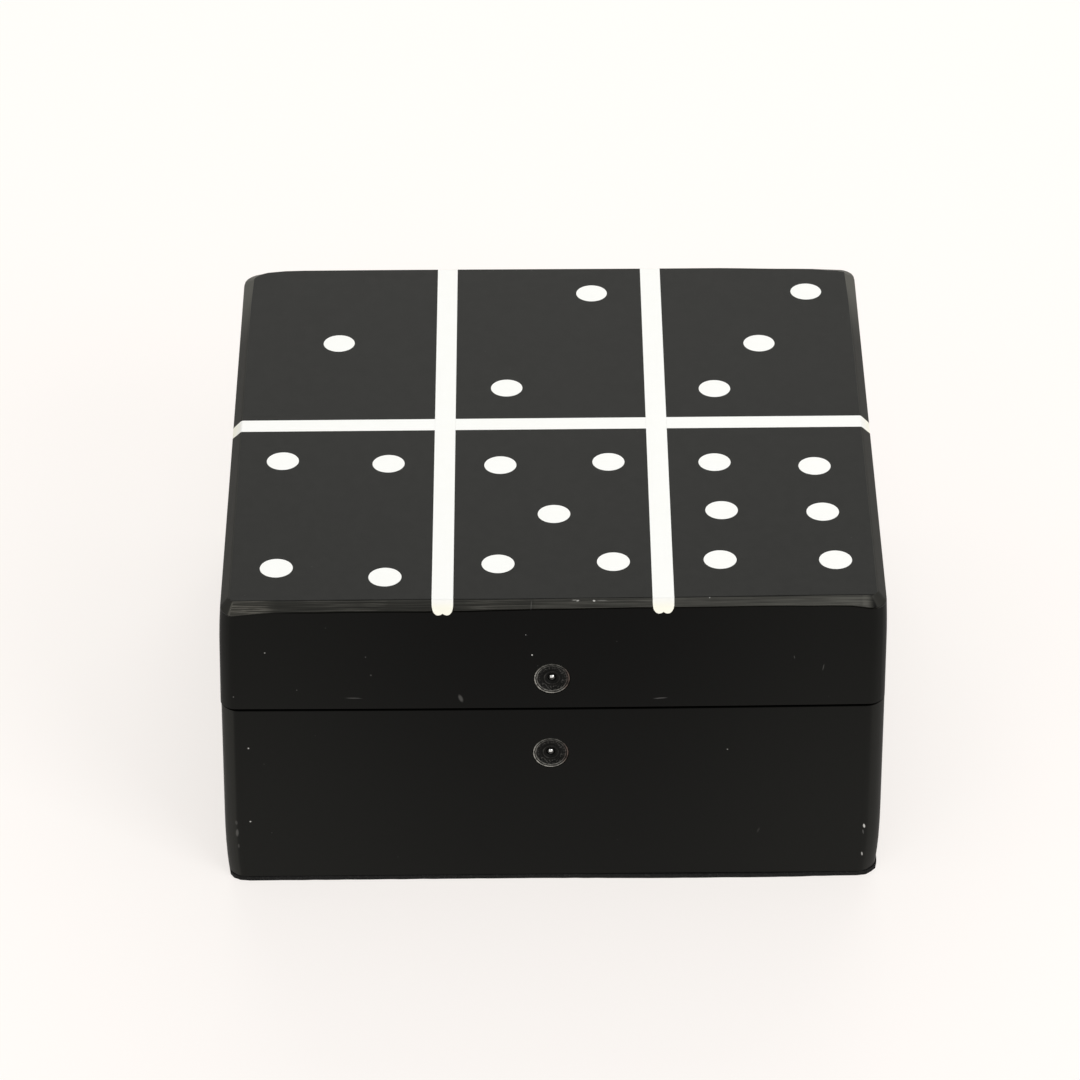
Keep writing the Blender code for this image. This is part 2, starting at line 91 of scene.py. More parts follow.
# --- How the box was shaped by hand ---
SET_IN = 0.03           # how far the front and the back stand inside the model's
FRONT_CHAMFER = 1.8     # round the lid's top: drop and inset on each side
SIDE_CHAMFER = 2.1
BACK_CHAMFER = 2.2
CHAMFER_SOFT = 0.35     # how far each chamfer's edges are rubbed round
SEAM_RISE = 0.18        # the front of the seam is this much higher at the corners
SEAM_DIP = 0.3          # and this much lower at its middle than at the corners
SEAM_EDGE = 0.22        # rubbed edge on each side of the seam
BASE_EDGE = 0.22        # rubbed edge round the underside
BASE_FOOT = BASE_LOW - 0.2      # the felt is pressed against the base, with hardly a gap
INLAY_GAP = 0.015
STRIP_GAP = 0.2         # between each end of a cross strip's node and the long strip beside it
FIT = 0.15              # clearance of a hinge's mortise in the visible shells
STOP_BEVEL_DEG = 50.5   # slope of the two bevels along the back rim
LEAF_GAP = 0.15         # from the seam to a hinge's leaf
LEAF_THICK = 1.0
KNUCKLE = 1.6           # radius of a hinge's knuckle
KNUCKLE_SEAT = 1.9      # and of the room cut for it

CORNERS = {             # size and softness of each upright corner: 0 is flat, 1 is fully round
    "lid": ((2.2, 0.8), (2.3, 0.95), (3.2, 0.95), (3.5, 0.95)),
    "base": ((2.7, 0.8), (2.9, 0.85), (2.8, 0.9), (2.8, 0.9)),
    "top": ((0.8, 0.6), (0.7, 0.6), (1.2, 0.8), (1.8, 0.8)),
}
CORNER_STEPS = 4
SIDE_STEPS = 30
QUARTER_TURN = (0, 0.39, 0.79, 1.18, 1.57)      # a rubbed edge's rows, in radians


# --- Mesh tools ---
def solid(name, bm):
    """A new object in the scene from a bmesh in millimetres."""
    bmesh.ops.recalc_face_normals(bm, faces=bm.faces)
    bm.transform(Matrix.Scale(MM, 4))
    mesh = bpy.data.meshes.new(name)
    bm.to_mesh(mesh)
    bm.free()
    made = bpy.data.objects.new(name, mesh)
    bpy.context.scene.collection.objects.link(made)
    return made


def cut(obj, *tools, operation="DIFFERENCE", keep=False):
    """Applies each tool to an object's own mesh as an exact Boolean, and removes it unless kept."""
    for tool in tools:
        modifier = obj.modifiers.new("cut", "BOOLEAN")
        modifier.operation = operation
        modifier.solver = "EXACT"
        modifier.object = tool
        bpy.context.view_layer.update()
        evaluated = obj.evaluated_get(bpy.context.evaluated_depsgraph_get())
        mesh = bpy.data.meshes.new_from_object(evaluated)
        obj.modifiers.clear()
        obj.data = mesh
        if not keep:
            bpy.data.objects.remove(tool)


def finish(obj, material, body, replaced, angle=32):
    """Shades a piece, gives it its material and body, and hides the parts of the model that it stands
    for.
    """
    bm = bmesh.new()
    bm.from_mesh(obj.data)
    bmesh.ops.remove_doubles(bm, verts=bm.verts, dist=1e-7)
    bm.to_mesh(obj.data)
    bm.free()
    obj.data.materials.clear()
    obj.data.materials.append(material)
    obj.data.shade_smooth()
    obj.data.set_sharp_from_angle(angle=math.radians(angle))
    weighted = obj.modifiers.new("face weights", "WEIGHTED_NORMAL")
    weighted.keep_sharp = True
    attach(obj, body)
    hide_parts(*replaced)


def block(name, low, high, edge=0.0):
    """A box between two corners, with its edges rubbed if a size is given for them."""
    low, high = Vector(low), Vector(high)
    bm = bmesh.new()
    place = Matrix.Translation((low + high) / 2) @ Matrix.Diagonal((*(high - low), 1))
    bmesh.ops.create_cube(bm, size=1, matrix=place)
    if edge:
        bmesh.ops.bevel(bm, geom=bm.edges[:], offset=edge, segments=3, profile=0.5, affect="EDGES")
    return solid(name, bm)


def lathe(bm, profile, place, steps):
    """Adds a turned solid from (radius, height) points.

    They run from its upper middle down to its lower middle, or right round if it has a hole.
    """
    rings = []
    for radius, height in profile:
        turns = 1 if radius == 0 else steps
        ring = []
        for step in range(turns):
            angle = 2 * math.pi * step / turns
            point = Vector((radius * math.cos(angle), radius * math.sin(angle), height))
            ring.append(bm.verts.new(place @ point))
        rings.append(ring)
    for upper, lower in zip(rings, rings[1:]):
        for step in range(steps):
            after = step + 1
            loop = [upper[step % len(upper)], lower[step % len(lower)]]
            loop += [lower[after % len(lower)], upper[after % len(upper)]]
            # Beside a ring of a single point, two of the four are the same.
            bm.faces.new(list(dict.fromkeys(loop)))


def towards(x, y, z, axis):
    """A matrix at a point in millimetres, whose Z axis points along axis."""
    return Matrix.Translation((x, y, z)) @ Vector(axis).to_track_quat("Z", "Y").to_matrix().to_4x4()


def turned(name, profile, place, steps=64):
    """A turned solid as an object of its own."""
    bm = bmesh.new()
    lathe(bm, profile, place, steps)
    return solid(name, bm)


def plug(radius, low, high):
    """The profile of a plain round bar."""
    return [(0, high), (radius, high), (radius, low), (0, low)]


def part_way(value, start, end):
    """How far a value has come from start to end, kept between 0 and 1."""
    return min(max((value - start) / (end - start), 0.0), 1.0)


def smooth(value, start, end):
    """A soft step from 0 at start to 1 at end."""
    t = part_way(value, start, end)
    return t * t * (3 - 2 * t)


def bezier(a, b, c, t):
    """A point on the curve from a to c that leaves towards b."""
    return tuple((1 - t) ** 2 * p + 2 * t * (1 - t) * q + t * t * r for p, q, r in zip(a, b, c))


# --- Outer form of the lid and base ---
def curl(z, start, end, size, power):
    """How far a face has curled in at a height: none at the start, and its full size at the end."""
    return size * part_way(z, start, end) ** power


def faces_at(storey, z):
    """Left, right, front and back of the box at a height: the sides lean, and all curl in at the end."""
    if storey == "lid":
        left = -76.45 + 0.0215 * (z - LID_LOW) + curl(z, 65, TOP, 0.5, 2.2)
        right = 76.77 - curl(z, 65, TOP, 0.4, 2.1)
        depth = curl(z, 66, TOP, 0.3, 2.2)
    else:
        left = -76.32 - 0.0143 * (BASE_HIGH - z) + curl(z, 22, 0, 0.87, 3.3)
        right = 76.79 - 0.0022 * (BASE_HIGH - z) - curl(z, 18, 0, 1.0, 2.5)
        depth = curl(z, 14, 0, 0.35, 2.5)
    return left, right, FRONT + SET_IN + depth, BACK - SET_IN - depth


def outline_columns():
    """What each point round the plan is: (kind, number, half of a corner, place along it)."""
    columns = []
    for number in range(4):
        for half in (0, 1):
            for step in range(CORNER_STEPS + 1):
                columns.append(("corner", number, half, step / CORNER_STEPS))
        for step in range(1, SIDE_STEPS):
            columns.append(("side", number, 0, step / SIDE_STEPS))
    return columns


# The way in which each side runs. Side 0 is the front and corner 0 is its left end, where side 3
# arrives. The rest follow anticlockwise.
SIDE_WAYS = ((1, 0), (0, 1), (-1, 0), (0, -1))


def plan_point(column, faces, corners):
    """Where a column meets a level whose four faces and four corners are given."""
    kind, number, half, t = column
    left, right, front, back = faces
    tips = ((left, front), (right, front), (right, back), (left, back))

    def corner_point(which, part, share):
        """A point on half of a corner: part 0 leads in from one side, and part 1 out to the next."""
        size, softness = corners[which]
        radius = size * (1 + math.sqrt(0.5)) * softness
        reach = size + radius * math.tan(math.pi / 8)
        tip = Vector(tips[which])
        arrive, leave = Vector(SIDE_WAYS[which - 1]), Vector(SIDE_WAYS[which])
        angle = math.pi / 4 * (share if part == 0 else 1 - share)
        along, across = radius * math.sin(angle), radius * (1 - math.cos(angle))
        if part == 0:
            return tip - arrive * reach + arrive * along + leave * across
        return tip + leave * reach - leave * along - arrive * across

    if kind == "corner":
        return corner_point(number, half, t)
    start = corner_point(number, 1, 1.0)
    end = corner_point((number + 1) % 4, 0, 0.0)
    return start.lerp(end, t)


def chamfer_size(x, y, side):
    """(drop, inset) of the top's chamfer at a place along a side: it was sanded freehand."""
    if side == 0:
        left_end = 1.25 * smooth(-x, 61, 74)
        right_end = 1.3 * smooth(x, 66, 75.5)
        wave = 0.06 * math.sin(0.21 * x + 1) + 0.03 * math.sin(0.57 * x)
        middle = FRONT_CHAMFER + 0.5 * smooth(-x, -5, 20) - 0.3 * smooth(x, 0, 62)
        narrow = 0.4 * smooth(-x, -20, 60) + 0.4 * smooth(x, -40, -5) * smooth(-x, -60, -25)
        return middle + left_end + right_end + wave, FRONT_CHAMFER - narrow
    if side == 2:
        worn = 1.35 * smooth(-x, 62, 75) + 0.7 * smooth(x, 40, 62) + 1.2 * smooth(x, 64, 74)
        return BACK_CHAMFER, BACK_CHAMFER - 0.45 * smooth(-x, -40, 50) + worn
    return SIDE_CHAMFER, SIDE_CHAMFER + 0.4 * smooth(y, 52, 74)


def side_weights(column):
    """Which sides a column belongs to: one along a side, and two at a corner."""
    kind, number, half, t = column
    if kind == "side":
        return ((number, 1.0),)
    share = (half + t) / 2
    return (((number - 1) % 4, 1 - share), (number, share))


def chamfer_rows(drop, inset):
    """(inset, height) of each row of the chamfer, from its rubbed lower edge to its upper one."""
    soft = CHAMFER_SOFT
    run = math.hypot(drop, inset)
    step_in, step_up = soft * inset / run, soft * drop / run
    low = ((0, -drop - soft), (0, -drop), (step_in, step_up - drop))
    high = ((inset - step_in, -step_up), (inset, 0), (inset + soft, 0))
    thirds = (0, 1 / 3, 2 / 3, 1)
    return [bezier(*low, t) for t in thirds] + [bezier(*high, t) for t in thirds]


def edge_rows(size):
    """(inset, height) of each row of a quarter-round edge, from the flat face outwards."""
    return [(size * (1 - math.sin(a)), size * (1 - math.cos(a))) for a in QUARTER_TURN]


def mixed_corners(a, b, t):
    """Each corner's size and softness, part of the way from one storey's to another's."""
    return [(p + (r - p) * t, q + (s - q) * t) for (p, q), (r, s) in zip(CORNERS[a], CORNERS[b])]


def loft(name, rows):
    """A closed form from rows of points, all of the same count, with flat ends."""
    bm = bmesh.new()
    rings = [[bm.verts.new(point) for point in row] for row in rows]
    count = len(rings[0])
    for lower, upper in zip(rings, rings[1:]):
        for i in range(count):
            j = (i + 1) % count
            bm.faces.new((lower[i], lower[j], upper[j], upper[i]))
    bm.faces.new(list(reversed(rings[0])))
    bm.faces.new(rings[-1])
    return solid(name, bm)


BODY_SHARES = [i / 10 for i in range(1, 11)]


def lid_form():
    """The lid's outside, as a solid."""
    columns = outline_columns()
    chamfers = [column_chamfer(column) for column in columns]
    rows = []
    for inset, rise in edge_rows(SEAM_EDGE):
        z = LID_LOW + rise
        rows.append([grown(column, "lid", z, inset, CORNERS["lid"]) for column in columns])
    start = LID_LOW + SEAM_EDGE
    for share in BODY_SHARES[:-1]:
        row = []
        for column, chamfer in zip(columns, chamfers):
            z = start + (TOP + chamfer[0][1] - start) * share
            row.append(grown(column, "lid", z, 0, CORNERS["lid"]))
        rows.append(row)
    last = len(chamfers[0]) - 1
    for number in range(last + 1):
        corners = mixed_corners("lid", "top", number / last)
        row = []
        for column, chamfer in zip(columns, chamfers):
            inset, fall = chamfer[number]
            x, y, _ = grown(column, "lid", TOP + chamfer[0][1], inset, corners)
            row.append((x, y, TOP + fall))
        rows.append(row)
    return loft("lid_form", rows)


def column_chamfer(column):
    """The rows of the chamfer at one column, mixed at a corner from its two sides."""
    x, y = plan_point(column, faces_at("lid", TOP - 3), CORNERS["lid"])
    drop, inset = 0.0, 0.0
    for side, weight in side_weights(column):
        side_drop, side_inset = chamfer_size(x, y, side)
        drop += weight * side_drop
        inset += weight * side_inset
    return chamfer_rows(drop, inset)


def grown(column, storey, z, inset, corners):
    """A point of the outer form at a height, moved in by inset on every side."""
    left, right, front, back = faces_at(storey, z)
    faces = (left + inset, right - inset, front + inset, back - inset)
    x, y = plan_point(column, faces, corners)
    return x, y, z


def base_form():
    """The base's outside, as a solid."""
    columns = outline_columns()
    low, high = BASE_FOOT + BASE_EDGE, BASE_HIGH - SEAM_EDGE
    levels = [(BASE_FOOT + rise, inset) for inset, rise in edge_rows(BASE_EDGE)]
    levels += [(low + (high - low) * share ** 1.5, 0) for share in BODY_SHARES]
    levels += [(BASE_HIGH - rise, inset) for inset, rise in reversed(edge_rows(SEAM_EDGE))]
    rows = []
    for z, inset in levels:
        row = [grown(column, "base", z, inset, CORNERS["base"]) for column in columns]
        repeated = rows and abs(z - rows[-1][0][2]) < 1e-6
        if not repeated:
            rows.append(row)
    return loft("base_form", rows)


def dip_seam(shell):
    """Bends the seam along the front, without moving anything far from it."""
    reach = 6.0
    for vertex in shell.data.vertices:
        x, y, z = (c / MM for c in vertex.co)
        near = 1 - smooth(abs(z - SEAM), 0, reach)
        across = 1 - (x / HALF_X) ** 2
        forward = smooth(-y, -20, -FRONT)
        vertex.co.z += (SEAM_RISE - SEAM_DIP * across) * near * forward * MM


# --- Cuts in the shells ---
def cavity(low_z, high_z, grow=0.0):
    """The inside of the box, with filled corners. Its sides are in short lengths, so they can bend."""
    x, y = INNER_X + grow, INNER_Y + grow
    columns = outline_columns()
    corners = [(0.5, 1.0)] * 4
    row = [plan_point(column, (-x, x, -y, y), corners) for column in columns]
    return loft("cavity", [[(*point, z) for point in row] for z in (low_z, high_z)])


def stop_bevel(storey):
    """The bevel along the back rim, from the pin's axis out: the two bevels stop the lid."""
    up = 1 if storey == "lid" else -1
    reach = 12.0
    drop = reach * math.tan(math.radians(STOP_BEVEL_DEG))
    past = HALF_X + 5
    section = [(HINGE_Y, SEAM), (HINGE_Y + reach, SEAM), (HINGE_Y + reach, SEAM + up * drop)]
    return loft("bevel", [[(x, y, z) for y, z in section] for x in (-past, past)])


def hinge_spots(side):
    """For one hinge: its middle X, half its length, its screws' X by name, and their Y."""
    low, high = span(f"{side}_hinge_base_leaf")
    screws = {}
    for end in ("outer", "inner"):
        a, b = span(f"{side}_hinge_base_screw_{end}")
        screws[end] = (a.x + b.x) / 2
    return (low.x + high.x) / 2, (high.x - low.x) / 2, screws, (a.y + b.y) / 2


def pin_axis(middle):
    """A placement for turned parts that lie along a hinge's pin: their Z is the box's X."""
    return towards(middle, HINGE_Y, SEAM, (1, 0, 0))


def cut_hinge_seats(shell, storey):
    """A mortise, a round seat for the knuckles and two pilot holes for each hinge."""
    up = 1 if storey == "lid" else -1
    for side in ("left", "right"):
        middle, half, screws, screw_y = hinge_spots(side)
        front_edge = span(f"{side}_hinge_{storey}_leaf")[0].y - 5
        floor = SEAM + up * (LEAF_GAP + LEAF_THICK + FIT)
        mouth = SEAM - up * 5
        corner_a = (middle - half - FIT, front_edge, min(floor, mouth))
        corner_b = (middle + half + FIT, HINGE_Y, max(floor, mouth))
        round_seat = plug(KNUCKLE_SEAT, -half - 1.4, half + 1.4)
        barrel = turned("barrel", round_seat, pin_axis(middle), 40)
        cut(shell, block("mortise", corner_a, corner_b), barrel)
        for x in screws.values():
            into_wall = towards(x, screw_y, SEAM, (0, 0, -up))
            cut(shell, turned("pilot", plug(0.85, -9, 1), into_wall, 24))


def cut_stud_seat(shell, level):
    """A round pocket for a stud's disc, and a hole behind it for its pin."""
    place, radius = stud_place(level)
    wide, narrow = radius + 0.12, 1.0
    profile = [(0, 5), (wide, 5), (wide, -3.2), (narrow, -3.2), (narrow, -7.8), (0, -7.8)]
    cut(shell, turned("stud_seat", profile, place, 96))


def stud_place(level):
    """A stud's placement on the front, facing out, and its disc's radius."""
    low, high = span(f"{level}_stud_disc")
    middle = (low + high) / 2
    return towards(middle.x, FRONT + SET_IN, middle.z, (0, -1, 0)), (high.x - low.x) / 2


# --- Inlays ---
PAST = HALF_X + 9       # well outside the lid, on either side


def bar_section(half, grow):
    """The groove's section, made by two passes of a round-nosed cutter: two lobes with a cusp between.

    Each lobe's inner half is round, and its outer half is drawn up into a taller shoulder.
    """
    width = half + grow
    lobe, shoulder = 1.4 + grow, 2.6 + grow
    lobe_x = width - lobe
    depth = 3.4 + grow
    cusp = math.acos(lobe_x / lobe)
    steps = 10
    points = [(width, 6), (-width, 6)]
    for side, first, last in ((-1, math.pi, 2 * math.pi - cusp), (1, math.pi + cusp, 2 * math.pi)):
        for step in range(steps + 1):
            angle = first + (last - first) * step / steps
            reach = shoulder if side * math.cos(angle) > 0 else lobe
            point = (side * lobe_x + lobe * math.cos(angle), reach * (1 + math.sin(angle)) - depth)
            if math.dist(point, points[-1]) > 0.02:
                points.append(point)
    return points


def bar(name, node, grow, ends=None):
    """A long bar through the lid along a strip's own line, running between two ends."""
    low, high = span(node)
    runs_in_y = node.startswith("long")
    middle = (low + high) / 2
    half = (high - low)[0 if runs_in_y else 1] / 2
    rows = []
    for end in ends or (-PAST, PAST):
        row = []
        for across, z in bar_section(half, grow):
            if runs_in_y:
                row.append((middle.x + across, end, TOP + z))
            else:
                row.append((end, middle.y + across, TOP + z))
        rows.append(row)
    return loft(name, rows)


def strip_ends(node):
    """Where a length of the cross strip starts and stops."""
    low, high = span(node)
    beside = STRIP_GAP - INLAY_GAP
    start = -PAST if node.endswith("left") else low.x - beside
    end = PAST if node.endswith("right") else high.x + beside
    return start, end


def build_strips(form, material):
    """Each strip, cut off where the lid's outside ends."""
    for node in STRIPS:
        ends = strip_ends(node) if node.startswith("cross") else None
        strip = bar(node + "_inlay", node, 0.0, ends)
        cut(strip, form, operation="INTERSECT", keep=True)
        finish(strip, material, "lid", replaced=(node,))


def pip_place(node):
    """A pip's placement on the lid's top, its radius and the height of its underside from there."""
    low, high = span(node)
    middle = (low + high) / 2
    return towards(middle.x, middle.y, TOP, (0, 0, 1)), (high.x - low.x) / 2, low.z - high.z


def build_pips(material):
    """Each pip as a round plug: its upper rim is rubbed and its lower one is chamfered."""
    for node in PIPS:
        place, radius, under = pip_place(node)
        profile = [(0, 0), (radius - 0.05, 0), (radius - 0.015, -0.015), (radius, -0.05)]
        profile += [(radius, under + 0.4), (radius - 0.4, under), (0, under)]
        pip = turned(node + "_inlay", profile, place)
        finish(pip, material, "lid", replaced=(node,))


def pip_holes():
    """One tool with every pip's hole in it."""
    bm = bmesh.new()
    for node in PIPS:
        place, radius, under = pip_place(node)
        lathe(bm, plug(radius + INLAY_GAP, under - INLAY_GAP, 4), place, 64)
    return solid("pip_holes", bm)


# --- Shells ---
def walls_of(storey):
    """The names of a storey's four wall nodes."""
    return [f"{storey}_{side}_wall" for side in ("front", "right", "back", "left")]


def build_lid_shell(form, material):
    """The lid carved from its outer form: walls and top panel in one, with every seat cut in."""
    shell = form.copy()
    shell.data = form.data.copy()
    shell.name = "lid_shell"
    bpy.context.scene.collection.objects.link(shell)
    cut(shell, cavity(LID_LOW - 9, span("lid_top_panel")[0].z))
    # One groove right across serves for all three lengths of the cross strip.
    for node in ("long_strip_left", "long_strip_right", "cross_strip_middle"):
        cut(shell, bar("groove", node, INLAY_GAP))
    cut(shell, pip_holes())
    cut_stud_seat(shell, "upper")
    cut_hinge_seats(shell, "lid")
    cut(shell, stop_bevel("lid"))
    dip_seam(shell)
    finish(shell, material, "lid", replaced=(*walls_of("lid"), "lid_top_panel"))


def build_base_shell(material):
    """The base's four walls in one, with a rebate for the floor panel."""
    shell = base_form()
    shell.name = "base_shell"
    room = 0.3
    floor_corner = span("base_floor_panel")[1]
    rebate = cavity(BASE_LOW - 9, floor_corner.z + room, floor_corner.x + room - INNER_X)
    cut(shell, cavity(BASE_LOW - 9, BASE_HIGH + 9), rebate)
    cut_stud_seat(shell, "lower")
    cut_hinge_seats(shell, "base")
    cut(shell, stop_bevel("base"))
    dip_seam(shell)
    finish(shell, material, "base", replaced=walls_of("base"))


# --- Felts ---
def felt_sheet(name, node, ragged, rounding, stretch):
    """A felt sheet in its node's box: lumpy faces, and a cut edge that wanders."""
    low, high = span(node)
    middle, half = (low + high) / 2, (high - low) / 2
    steps = 60
    bm = bmesh.new()
    grids = []
    for z, sign in ((low.z, -1), (high.z, 1)):
        grid = []
        for j in range(steps + 1):
            row = []
            for i in range(steps + 1):
                u, v = 2 * i / steps - 1, 2 * j / steps - 1
                x, y = felt_outline(u, v, middle, half, ragged, rounding, stretch)
                lump = 0.05 * (1 + noise.noise(Vector((x * 0.8, y * 0.8, sign * 7.0))))
                row.append(bm.verts.new((x, y, z - sign * lump)))
            grid.append(row)
        grids.append(grid)
    bottom, top = grids
    for j in range(steps):
        for i in range(steps):
            bm.faces.new((top[j][i], top[j][i + 1], top[j + 1][i + 1], top[j + 1][i]))
            bm.faces.new((bottom[j][i], bottom[j + 1][i], bottom[j + 1][i + 1], bottom[j][i + 1]))
    onward, back = range(steps), range(steps, 0, -1)
    rim = [(0, i) for i in onward] + [(j, steps) for j in onward]
    rim += [(steps, i) for i in back] + [(j, 0) for j in back]
    for (j, i), (next_j, next_i) in zip(rim, rim[1:] + rim[:1]):
        bm.faces.new((bottom[j][i], bottom[next_j][next_i], top[next_j][next_i], top[j][i]))
    return solid(name, bm)


def felt_outline(u, v, middle, half, ragged, rounding, stretch):
    """X and Y of a point of a felt sheet, where u and v run from -1 to 1 across it.

    The edge wanders, the corners are cut back, and the front edge is stretched a little forwards to
    the right of its middle.
    """
    x, y = middle.x + half.x * u, middle.y + half.y * v
    wander = noise.noise(Vector((x * 0.35, y * 0.35, 3.0))) * ragged
    pull = 0.35 * (ragged + wander)
    if abs(u) > 0.999:
        x -= math.copysign(pull, u)
    if abs(v) > 0.999:
        y -= math.copysign(pull, v)
    tuck = rounding * smooth(min(abs(u), abs(v)), 0.95, 1.0) * (1.0 if u > 0 else 0.75)
    x -= math.copysign(tuck, u)
    y -= math.copysign(tuck, v)
    y -= stretch * smooth(-v, 0.9, 1.0) * smooth(u, -0.1, 0.4) * smooth(-u, -0.9, -0.65)
    return x, y


# --- Studs ---
def turned_in_place(name, profile, place, steps):
    """A turned solid that keeps its axis as its local Z, so that its material can follow its rings."""
    bm = bmesh.new()
    lathe(bm, profile, Matrix.Identity(4), steps)
    bmesh.ops.remove_doubles(bm, verts=bm.verts, dist=1e-4)
    made = solid(name, bm)
    moved = place.copy()
    moved.translation = place.translation * MM
    made.matrix_world = moved
    return made


def build_stud(level, body, disc_material, pin_material):
    """A turned disc with a hole through it, and the domed pin in that hole."""
    place, radius = stud_place(level)
    rim = radius - 0.02
    profile = [
        (0.95, -3.0), (0.95, -0.75), (1.05, -0.62), (1.45, -0.5), (1.62, -0.36), (1.75, -0.3),
        (1.88, -0.36), (2.05, -0.5), (2.5, -0.56), (3.0, -0.48), (3.25, -0.3), (3.38, -0.14),
        (3.48, -0.1), (3.58, -0.14), (3.68, -0.2), (3.8, -0.1), (3.92, -0.02), (4.02, -0.03),
        (rim, -0.12), (rim, -2.8), (rim - 0.2, -3.0),
    ]
    disc = turned_in_place(f"{level}_stud_turned_disc", profile + profile[:1], place, 96)
    finish(disc, disc_material, body, angle=60, replaced=(f"{level}_stud_disc",))

    pin_radius, dome_foot, dome_rise, dome_steps = 0.8, -0.85, 0.6, 8
    profile = []
    for step in range(dome_steps + 1):
        angle = math.pi / 2 * step / dome_steps
        profile.append((pin_radius * math.sin(angle), dome_foot + dome_rise * math.cos(angle)))
    profile += [(pin_radius, -7.0), (pin_radius - 0.4, -7.5), (0, -7.5)]
    pin = turned_in_place(f"{level}_stud_domed_pin", profile, place, 48)
    finish(pin, pin_material, body, replaced=(f"{level}_stud_pin",))


# --- Hinges ---
def build_hinges(brass, steel):
    """Two butt hinges: a leaf and two screws on each storey, and a pin."""
    for side in ("left", "right"):
        middle, half, screws, screw_y = hinge_spots(side)
        for storey in ("base", "lid"):
            build_leaf(side, storey, middle, half, screws, screw_y, brass)
            for end, x in screws.items():
                build_screw(f"{side}_hinge_{storey}_screw_{end}", storey, x, screw_y, brass)
        build_hinge_pin(side, middle, half, steel)


def knuckle(start, end, half):
    """The profile of one knuckle with rubbed ends, drawn in where it meets a neighbour."""
    gap, soft = 0.1, 0.15
    near = start + (gap if start > -half else 0)
    far = end - (gap if end < half else 0)
    return [
        (0, far), (KNUCKLE - soft, far), (KNUCKLE, far - soft),
        (KNUCKLE, near + soft), (KNUCKLE - soft, near), (0, near),
    ]


def build_leaf(side, storey, middle, half, screws, screw_y, brass):
    """A plate with rubbed edges, its own knuckles, notches for the others' and countersunk holes."""
    node = f"{side}_hinge_{storey}_leaf"
    up = 1 if storey == "lid" else -1
    low, high = span(node)
    plate_low = SEAM + LEAF_GAP if storey == "lid" else SEAM - LEAF_GAP - LEAF_THICK
    plate_high = plate_low + LEAF_THICK
    leaf = block(node + "_plate", (low.x, low.y, plate_low), (high.x, HINGE_Y, plate_high), 0.12)
    third = half / 3
    owners = (("base", -half, -third), ("lid", -third, third), ("base", third, half))
    clear = 0.15
    for owner, start, end in owners:
        if owner != storey:
            corner_a = (middle + start - clear, HINGE_Y - KNUCKLE_SEAT, SEAM - KNUCKLE_SEAT)
            corner_b = (middle + end + clear, HINGE_Y + KNUCKLE_SEAT, SEAM + KNUCKLE_SEAT)
            cut(leaf, block("notch", corner_a, corner_b))
    for owner, start, end in owners:
        if owner == storey:
            barrel = turned("barrel", knuckle(start, end, half), pin_axis(middle), 48)
            cut(leaf, barrel, operation="UNION")
    cut(leaf, turned("bore", plug(0.85, -half - 5, half + 5), pin_axis(middle), 32))
    sink = [(0, 3), (1.75, 3), (1.75, 0), (1.0, -0.8), (1.0, -4), (0, -4)]
    for x in screws.values():
        cut(leaf, turned("sink", sink, towards(x, screw_y, SEAM + up * LEAF_GAP, (0, 0, -up)), 40))
    finish(leaf, brass, storey, angle=40, replaced=(node,))


def build_screw(node, storey, x, y, brass):
    """A slotted countersunk screw with a threaded shank."""
    up = 1 if storey == "lid" else -1
    top = SEAM + up * 0.2
    head, shank, length, pitch, thread = 1.45, 0.62, 7.0, 0.6, 0.08
    profile = [(0, 0), (head - 0.08, 0), (head, -0.08), (shank, -0.85)]
    turns = int((length - 2.2) / pitch)
    for turn in range(turns):
        z = -1.1 - turn * pitch
        profile += [(shank, z), (shank + thread, z - pitch * 0.45), (shank, z - pitch * 0.9)]
    profile.append((0, -length))
    screw = turned(node + "_slotted", profile, towards(x, y, top, (0, 0, -up)), 32)
    cut(screw, block("slot", (x - 3, y - 0.2, top - 0.35), (x + 3, y + 0.2, top + 0.35)))
    finish(screw, brass, storey, replaced=(node,))


def build_hinge_pin(side, middle, half, steel):
    """A pin with a domed head at each end."""
    reach = half + 0.1
    upper = [
        (0, reach + 0.5), (0.6, reach + 0.46), (1.0, reach + 0.34), (1.2, reach + 0.18),
        (1.25, reach), (0.75, reach),
    ]
    profile = upper + [(radius, -height) for radius, height in reversed(upper)]
    pin = turned(f"{side}_hinge_round_pin", profile, pin_axis(middle), 40)
    finish(pin, steel, "base", replaced=(f"{side}_hinge_pin",))


# --- Materials ---
def add(tree, kind, inputs=(), **settings):
    """One node. Inputs are given by name, by number or in order. Each is a value or an output."""
    made = tree.nodes.new("ShaderNode" + kind)
    for key, value in settings.items():
        setattr(made, key, value)
    pairs = inputs.items() if isinstance(inputs, dict) else enumerate(inputs)
    for key, value in pairs:
        if isinstance(value, bpy.types.NodeSocket):
            tree.links.new(value, made.inputs[key])
        else:
            made.inputs[key].default_value = value
    return made


def maths(tree, operation, *values):
    """The result of one Math node."""
    return add(tree, "Math", values, operation=operation).outputs[0]


def chain(tree, operation, values):
    """One operation carried through any number of values, in order."""
    result = values[0]
    for value in values[1:]:
        result = maths(tree, operation, result, value)
    return result


def product(tree, *values):
    return chain(tree, "MULTIPLY", values)


def total(tree, *values):
    return chain(tree, "ADD", values)


def greatest(tree, *values):
    return chain(tree, "MAXIMUM", values)


def ramp(tree, value, low, high, to_low=0.0, to_high=1.0):
    """A value brought from one range into another, with soft ends."""
    inputs = {"Value": value, "From Min": low, "From Max": high, "To Min": to_low, "To Max": to_high}
    return add(tree, "MapRange", inputs, interpolation_type="SMOOTHSTEP").outputs[0]


